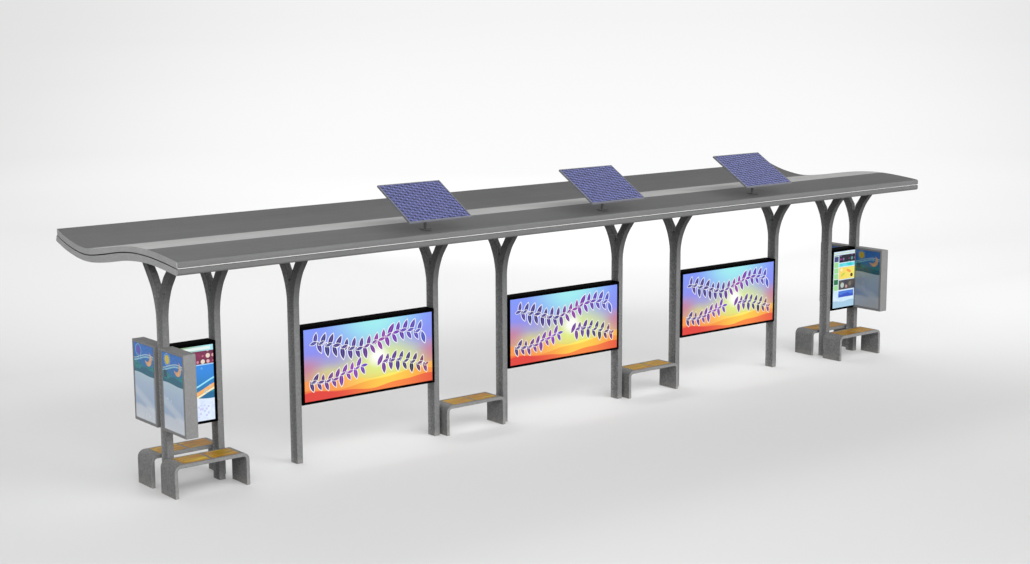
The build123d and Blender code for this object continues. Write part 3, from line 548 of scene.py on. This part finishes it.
# prints in the light boxes, about 0.56 x 1.04 m
def poster(name, glow, density):
    m = Mat(name)
    x, y, z = m.xyz()
    s = m.m("FLOORED_MODULO", m.m("SUBTRACT", 0.044, y), 0.82)
    t = m.m("SUBTRACT", z, 0.870)
    front = m.m("LESS_THAN", y, Y_ROW)
    p = m.vec(s, t)
    soft = m.noise(4.0, 3.0, 0.55, vec=p)
    fine = m.noise(26.0, 4.0, 0.65, vec=p)
    tint = m.ramp(m.m("MULTIPLY_ADD", soft, 0.10, m.m("SUBTRACT", t, 0.05)),
                  ((0.0, srgb(206, 212, 220)), (0.17, srgb(196, 204, 216)), (0.22, srgb(158, 178, 204)),
                   (0.50, srgb(170, 190, 214)), (0.62, srgb(178, 200, 214))))
    band = m.m("ABSOLUTE", m.m("SUBTRACT", m.m("MULTIPLY_ADD", s, 0.42, t), 0.40))
    tint = m.mix(m.mapr(band, 0.10, 0.02, 0.0, 0.40, smooth=True), tint, srgb(212, 220, 230))
    edge = m.wave(s, 0.632, (0.010, 9.0, 0.5))
    deep = m.mix(m.mapr(m.m("MULTIPLY_ADD", soft, 0.12, t), 0.68, 1.02, smooth=True), srgb(0, 118, 138), srgb(44, 118, 204))
    deep = m.mix(m.below(t, m.wave(s, 0.775, (0.034, 7.5, 2.2), (0.010, 19.0, 0.0))), deep, srgb(0, 132, 142))
    deep = m.mix(m.below(t, m.wave(s, 0.705, (0.026, 9.5, 4.6), (0.008, 23.0, 1.0))), deep, srgb(0, 100, 124))
    for off, wid, tone in ((0.835, 0.010, srgb(150, 206, 226)), (0.865, 0.005, srgb(206, 232, 236))):
        rib = m.m("SUBTRACT", t, m.wave(s, off, (0.050, 6.2, 5.2)))
        deep = m.mix(m.mapr(m.m("ABSOLUTE", rib), wid + 0.003, wid - 0.003), deep, tone)
    d, q = m.disc(p, 0.135, 0.945, 0.062)
    deep = m.mix(d, deep, m.mix(front, srgb(96, 90, 190), srgb(226, 198, 56)))
    deep = m.mix(m.m("MULTIPLY", m.ring(q, 1.22, 1.36), 0.8), deep, srgb(170, 214, 240))
    d1, _ = m.disc(p, 0.415, 0.860, 0.098)
    d2, _ = m.disc(p, 0.375, 0.905, 0.088)
    moon = m.m("MULTIPLY", d1, m.m("SUBTRACT", 1.0, d2))
    deep = m.mix(moon, deep, srgb(232, 176, 122))
    deep = m.mix(m.m("MULTIPLY", m.rect(s, t, 0.03, 0.115, 0.70, 0.80), m.m("MULTIPLY", front, 0.8)), deep, srgb(40, 48, 76))
    deep = m.mix(m.mapr(fine, 0.44, 0.62, 0.0, 0.32), deep, srgb(10, 62, 96))
    pic = m.mix(m.mapr(m.m("SUBTRACT", t, edge), -0.002, 0.002), tint, deep)
    rim = m.rect(s, t, 0.006, 0.547, 0.006, 1.032)
    pic = m.mix(m.mapr(rim, 0.0, 1.0, 0.35, 0.0), pic, (0.05, 0.05, 0.05, 1))
    smear = m.noise(2.6, 4.0, 0.6)
    m.set(Base_Color=m.mix(1.0, pic, (density, density, density, 1), "MULTIPLY"), Emission_Color=pic,
          Roughness=m.mapr(smear, 0.3, 0.7, 0.14, 0.30))
    m.bsdf.inputs["Emission Strength"].default_value = glow
    m.bump(smear, 0.02, 0.0005)
    return m.mat


# painted light and shade: the left prints glow more strongly as painted light, and the right prints are a
# painted-shade copy that barely glows
poster_glow_painted_light = poster("poster_print", 0.42, 0.30)
poster_painted_shade = poster("poster_print_painted_shade", 0.05, 0.36)

SLOTS = {
    "post_paint": post_paint, "roof_dark": roof_dark, "roof_light": roof_light, "roof_lower": roof_lower,
    "rib_metal": rib_metal, "strip_diffuser": strip_diffuser, "solar_frame": solar_metal, "solar_cell": solar_cell,
    "pole_paint": pole_paint, "case_black": case_black, "screen_picture": screen_picture, "end_picture": end_picture,
    "box_silver": box_silver, "poster_print": poster_glow_painted_light, "bench_paint": bench_paint, "seat_wood": seat_wood,
}
OWN = {"posters_right": poster_painted_shade}
slot_of = {s["node"]: s["material_slot"] for s in frame["record"]["subparts"]}
for name, ob in nodes.items():
    mat = OWN.get(name, SLOTS[slot_of[name]])
    if not ob.data.materials:
        ob.data.materials.append(mat)
    for i in range(len(ob.material_slots)):
        ob.material_slots[i].material = mat

# ---------------------------------------------------------------------------
# floor: plain and pale; far out it fades into the pale surroundings, so that
# no horizon line shows from any side
# ---------------------------------------------------------------------------
AXIS = (0.656, 0.755)               # the side on which the surroundings carry the most painted light
NEAR, FAR = 8.0, 38.0               # the floor fades into the surroundings between these radii
# radius: where the brighter side of painted light begins (cosine from the axis), how wide its edge is, dark tone,
# bright tone
SIDES = ((12, 0.970, 0.080, 0.699, 1.35), (17, 0.922, 0.055, 0.730, 1.35), (22, 0.831, 0.213, 0.768, 1.226),
         (28, 0.754, 0.296, 0.786, 1.063), (36, 0.763, 0.219, 0.776, 0.975), (48, 0.832, 0.159, 0.762, 0.969),
         (70, 0.869, 0.124, 0.760, 0.962), (110, 0.901, 0.097, 0.763, 0.949), (250, 0.929, 0.074, 0.766, 0.928),
         (850, 0.943, 0.060, 0.768, 0.906))


def surround(m, x, y, r):
    """Pale surroundings with painted light: a little brighter on one side and nearer the middle."""
    lo, hi = math.log10(SIDES[0][0]), math.log10(SIDES[-1][0])
    at = m.mapr(m.m("LOGARITHM", r, 10.0), lo, hi)
    stops = [((math.log10(v[0]) - lo) / (hi - lo), v) for v in SIDES]
    begin, width, dark = m.xyz(m.ramp(at, [(q, (v[1], v[2], v[3], 1)) for q, v in stops]))
    light = m.m("MULTIPLY", m.xyz(m.ramp(at, [(q, (v[4] / 2, v[4] / 2, v[4] / 2, 1)) for q, v in stops]))[0], 2.0)
    c = m.m("DIVIDE", m.m("MULTIPLY_ADD", x, AXIS[0], m.m("MULTIPLY", y, AXIS[1])), r)
    side = m.mapr(m.m("DIVIDE", m.m("SUBTRACT", c, begin), width), 0.0, 1.0, smooth=True)
    return m.m("MULTIPLY_ADD", side, m.m("SUBTRACT", light, dark), dark)


def uneven(m, px, py, terms):
    """Sum of k px^i py^j"""
    total = 0.0
    for i, j, k in terms:
        v = 1.0
        for n, q in ((i, px), (j, py)):
            for _ in range(n):
                v = m.m("MULTIPLY", v, q)
        total = m.m("MULTIPLY_ADD", v, k, total)
    return total


mesh = bpy.data.meshes.new("floor")
bm = bmesh.new()
rings = []
for radius in (4.0, 12.0, 30.0, 70.0, 200.0, 400.0, 575.0):
    rings.append([bm.verts.new((radius * math.cos(i * math.tau / 96), radius * math.sin(i * math.tau / 96), 0.0))
                  for i in range(96)])
bm.faces.new(rings[0])
for a, b in zip(rings, rings[1:]):
    for i in range(96):
        bm.faces.new((a[i], b[i], b[(i + 1) % 96], a[(i + 1) % 96]))
bm.to_mesh(mesh)
bm.free()
floor = bpy.data.objects.new("floor", mesh)
coll.objects.link(floor)
fm = Mat("floor_plain")
fm.bsdf.inputs["Specular IOR Level"].default_value = 0.15
fx, fy, fz = fm.xyz()
fr = fm.m("SQRT", fm.m("MULTIPLY_ADD", fx, fx, fm.m("MULTIPLY_ADD", fy, fy, 0.01)))
# painted light and shade: the floor's tone and glow are uneven, in patches of painted shade and painted light
px = fm.m("MULTIPLY_ADD", fm.mapr(fx, -16.0, 16.0, smooth=True), 2.0, -1.0)
py = fm.m("MULTIPLY_ADD", fm.mapr(fy, -12.0, 12.0, smooth=True), 2.0, -1.0)
tone = uneven(fm, px, py, ((0, 0, 1.0), (1, 0, -0.020), (0, 1, -0.151), (1, 1, -0.227), (2, 0, -0.120), (0, 2, -0.40)))
tone = fm.m("MULTIPLY", fm.m("MINIMUM", fm.m("MAXIMUM", tone, 0.70), 1.12), 0.50)
# painted shade: far out in front, where the lamps are near, the floor's tone is lowered so that it stays plain
tone = fm.m("MULTIPLY", tone, fm.mapr(fy, -26.0, -13.0, 0.40, 1.0, smooth=True))
floor_painted_glow = uneven(fm, px, py, ((0, 0, 0.1645), (0, 1, 0.2861), (0, 2, 0.0741), (0, 3, -0.1183), (1, 0, 0.0324), (1, 1, 0.2320),
                            (1, 2, -0.1515), (2, 0, -0.0060), (2, 1, -0.1655), (3, 0, 0.1802)))
floor_painted_glow = fm.m("MAXIMUM", floor_painted_glow, 0.0)
fm.set(Base_Color=fm.vec(tone, tone, tone), Roughness=0.85, Emission_Color=fm.vec(floor_painted_glow, floor_painted_glow, floor_painted_glow))
fm.bsdf.inputs["Emission Strength"].default_value = 1.0
glow = fm.node("ShaderNodeEmission")
sv = surround(fm, fx, fy, fr)
fm.put(glow.inputs["Color"], fm.vec(sv, sv, sv))
both = fm.node("ShaderNodeMixShader")
fm.put(both.inputs[0], fm.mapr(fr, NEAR, FAR, smooth=True))
fm.nt.links.new(fm.bsdf.outputs[0], both.inputs[1])
fm.nt.links.new(glow.outputs[0], both.inputs[2])
fm.nt.links.new(both.outputs[0], fm.out.inputs[0])
mesh.materials.append(fm.mat)

# the pale surroundings themselves, with the same painted light, a far dome that only the eye and gloss see
mesh = bpy.data.meshes.new("surroundings")
bm = bmesh.new()
bmesh.ops.create_uvsphere(bm, u_segments=96, v_segments=48, radius=560.0)
bm.to_mesh(mesh)
bm.free()
dome = bpy.data.objects.new("surroundings", mesh)
coll.objects.link(dome)
dm = Mat("surroundings_pale")
dx, dy, dz = dm.xyz()
dr = dm.m("SQRT", dm.m("MULTIPLY_ADD", dx, dx, dm.m("MULTIPLY_ADD", dy, dy, 1.0)))
glow = dm.node("ShaderNodeEmission")
sv = surround(dm, dx, dy, dr)
dm.put(glow.inputs["Color"], dm.vec(sv, sv, sv))
dm.nt.links.new(glow.outputs[0], dm.out.inputs[0])
mesh.materials.append(dm.mat)
dome.visible_diffuse = False
dome.visible_shadow = False
dome.visible_volume_scatter = False

# ---------------------------------------------------------------------------
# light
# ---------------------------------------------------------------------------
world = bpy.data.worlds.new("studio")
world.use_nodes = True
wt = world.node_tree
sky_dir = wt.nodes.new("ShaderNodeTexCoord")
sky_xyz = wt.nodes.new("ShaderNodeSeparateXYZ")
wt.links.new(sky_dir.outputs["Generated"], sky_xyz.inputs[0])
sky_tone = wt.nodes.new("ShaderNodeValToRGB")       # a studio whose walls are lit and whose ceiling is dark
stops = ((0.0, 0.30), (0.235, 0.30), (0.285, 1.60), (0.68, 1.60), (0.735, 0.0))
while len(sky_tone.color_ramp.elements) < len(stops):
    sky_tone.color_ramp.elements.new(0.5)
for e, (pos, v) in zip(sky_tone.color_ramp.elements, stops):
    e.position, e.color = pos, (v / 2, v / 2, v / 2, 1)
wt.links.new(sky_xyz.outputs[2], sky_tone.inputs[0])
wt.links.new(sky_tone.outputs[0], wt.nodes["Background"].inputs[0])
wt.nodes["Background"].inputs[1].default_value = 2.0
scene.world = world


def area(name, loc, target, sx, sy, power, colour=(1, 1, 1), gloss=True):
    data = bpy.data.lights.new(name, "AREA")
    data.shape = "RECTANGLE"
    data.size, data.size_y = sx, sy
    data.energy = power
    data.color = colour
    ob = bpy.data.objects.new(name, data)
    coll.objects.link(ob)
    ob.location = loc
    ob.rotation_mode = "QUATERNION"
    ob.rotation_quaternion = (Vector(target) - Vector(loc)).to_track_quat("-Z", "Y")
    ob.visible_camera = False
    ob.visible_glossy = gloss
    return ob


def soft_box(name, azimuth, elevation, power):
    """A big soft lamp 46 m away; azimuth from the front toward the left end of the row."""
    a, e = math.radians(azimuth), math.radians(elevation)
    area(name, (-math.sin(a) * math.cos(e) * 46.0, -math.cos(a) * math.cos(e) * 46.0, math.sin(e) * 46.0 + 1.0),
         (0.0, 0.0, 1.0), 22.0, 16.0, power)


area("front_low", (6.0, -44.0, 12.0), (0.0, 0.0, 1.0), 44.0, 16.0, 17300.0)
area("front_mid", (0.0, -38.0, 26.0), (0.0, 0.0, 1.0), 30.0, 10.0, 830.0)
area("back_high", (2.0, 31.0, 30.0), (0.0, 0.0, 1.0), 30.0, 10.0, 4800.0)
soft_box("front_left", 25.0, 35.0, 5230.0)
soft_box("left", 55.0, 35.0, 2400.0)
soft_box("left_low", 80.0, 12.0, 2500.0)
soft_box("front_right", -25.0, 45.0, 4310.0)
